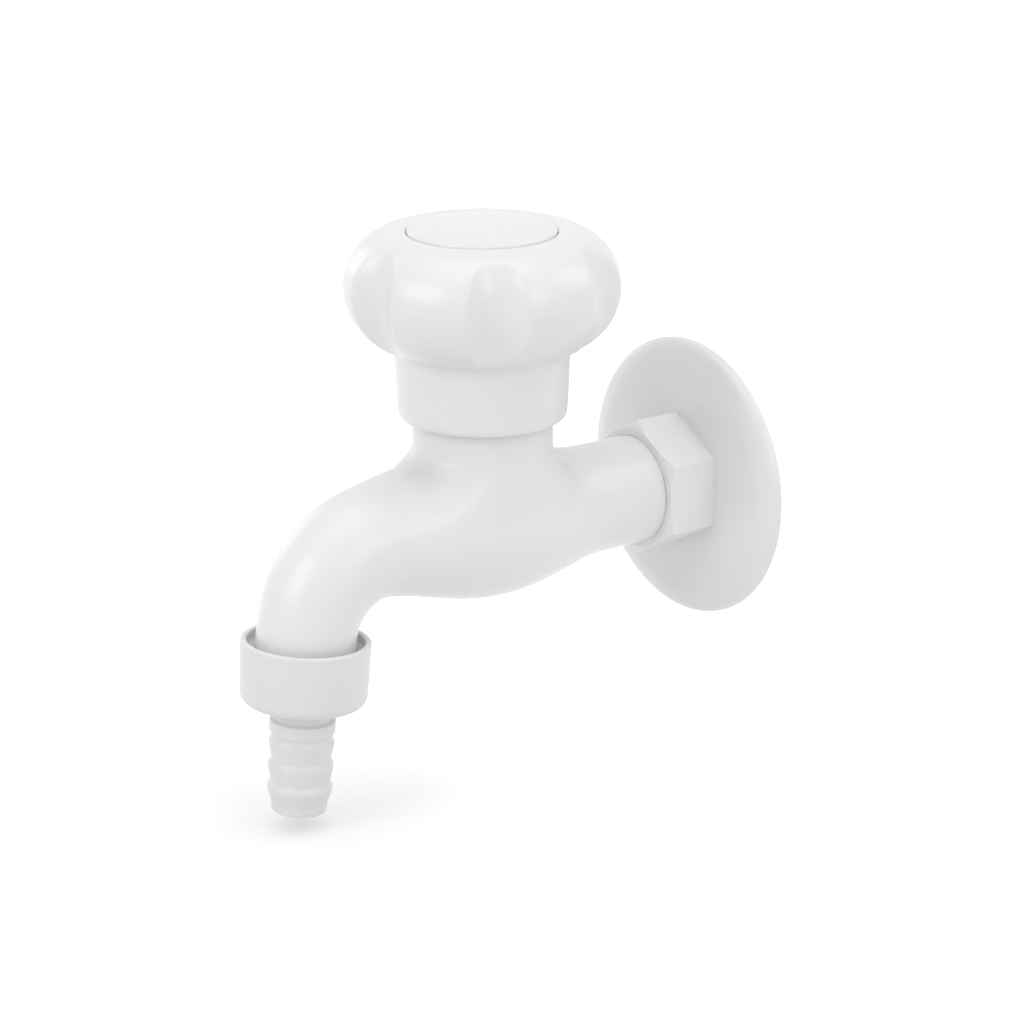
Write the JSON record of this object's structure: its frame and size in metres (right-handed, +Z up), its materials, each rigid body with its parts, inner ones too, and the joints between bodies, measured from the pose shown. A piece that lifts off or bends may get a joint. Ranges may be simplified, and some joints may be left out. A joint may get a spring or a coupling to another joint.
{
  "type": "bib tap",
  "caption": "White plastic wall-mounted bib tap with a lobed handle, a down-turned spout and a barbed hose union.",
  "frame": {"origin": "centre of the inlet thread at the wall plane, on the flange's back face", "axes": "+Y into the wall along the inlet axis, +Z up along the valve's axis, +X to the right of someone facing the wall"},
  "size_m": [0.0636, 0.1351, 0.1229],
  "materials": {
    "body_plastic": "glossy white",
    "knob_plastic": "glossy white",
    "union_plastic": "satin white",
    "brass": "machined",
    "rubber": "matte black",
    "steel": "satin"
  },
  "bodies": {
    "tap": {"tap_body": "body_plastic", "inlet_connector": "body_plastic", "connector_o_ring": "rubber", "wall_flange": "body_plastic", "bonnet": "brass", "bonnet_washer": "rubber", "gland_packing": "rubber", "gland_follower": "brass", "gland_nut": "brass"},
    "jumper": {"jumper_valve": "brass", "valve_washer": "rubber", "washer_nut": "brass"},
    "handle": {"spindle": "brass", "knob": "knob_plastic", "knob_cap": "knob_plastic", "handle_screw": "steel", "screw_washer": "steel"},
    "union_seal": {"union_washer": "rubber"},
    "nut": {"coupling_nut": "union_plastic"},
    "tail": {"hose_tail": "union_plastic"}
  },
  "joints": [
    {"name": "valve_lift", "type": "slide", "parent": "tap", "child": "jumper", "axis": [0, 0, 1], "range_m": [0, 0.00601]},
    {"name": "handle_turn", "type": "hinge", "parent": "jumper", "child": "handle", "pos_m": [0, -0.0585, 0], "axis": [0, 0, 1], "range_deg": [0, 900]},
    {"name": "union_drop", "type": "slide", "parent": "tap", "child": "union_seal", "axis": [0, -0.0698, -0.9976], "range_m": [0, 0.00908]},
    {"name": "nut_turn", "type": "hinge", "parent": "union_seal", "child": "nut", "pos_m": [0, -0.10515, -0.0151], "axis": [0, -0.0698, -0.9976], "range_deg": [0, 1800]},
    {"name": "tail_swivel", "type": "hinge", "parent": "union_seal", "child": "tail", "pos_m": [0, -0.10515, -0.0151], "axis": [0, -0.0698, -0.9976], "continuous": true}
  ],
  "couplings": [
    {"joint": "valve_lift", "follows": "handle_turn", "m_per_rad": 0.00038197},
    {"joint": "union_drop", "follows": "nut_turn", "m_per_rad": 0.00028871}
  ]
}
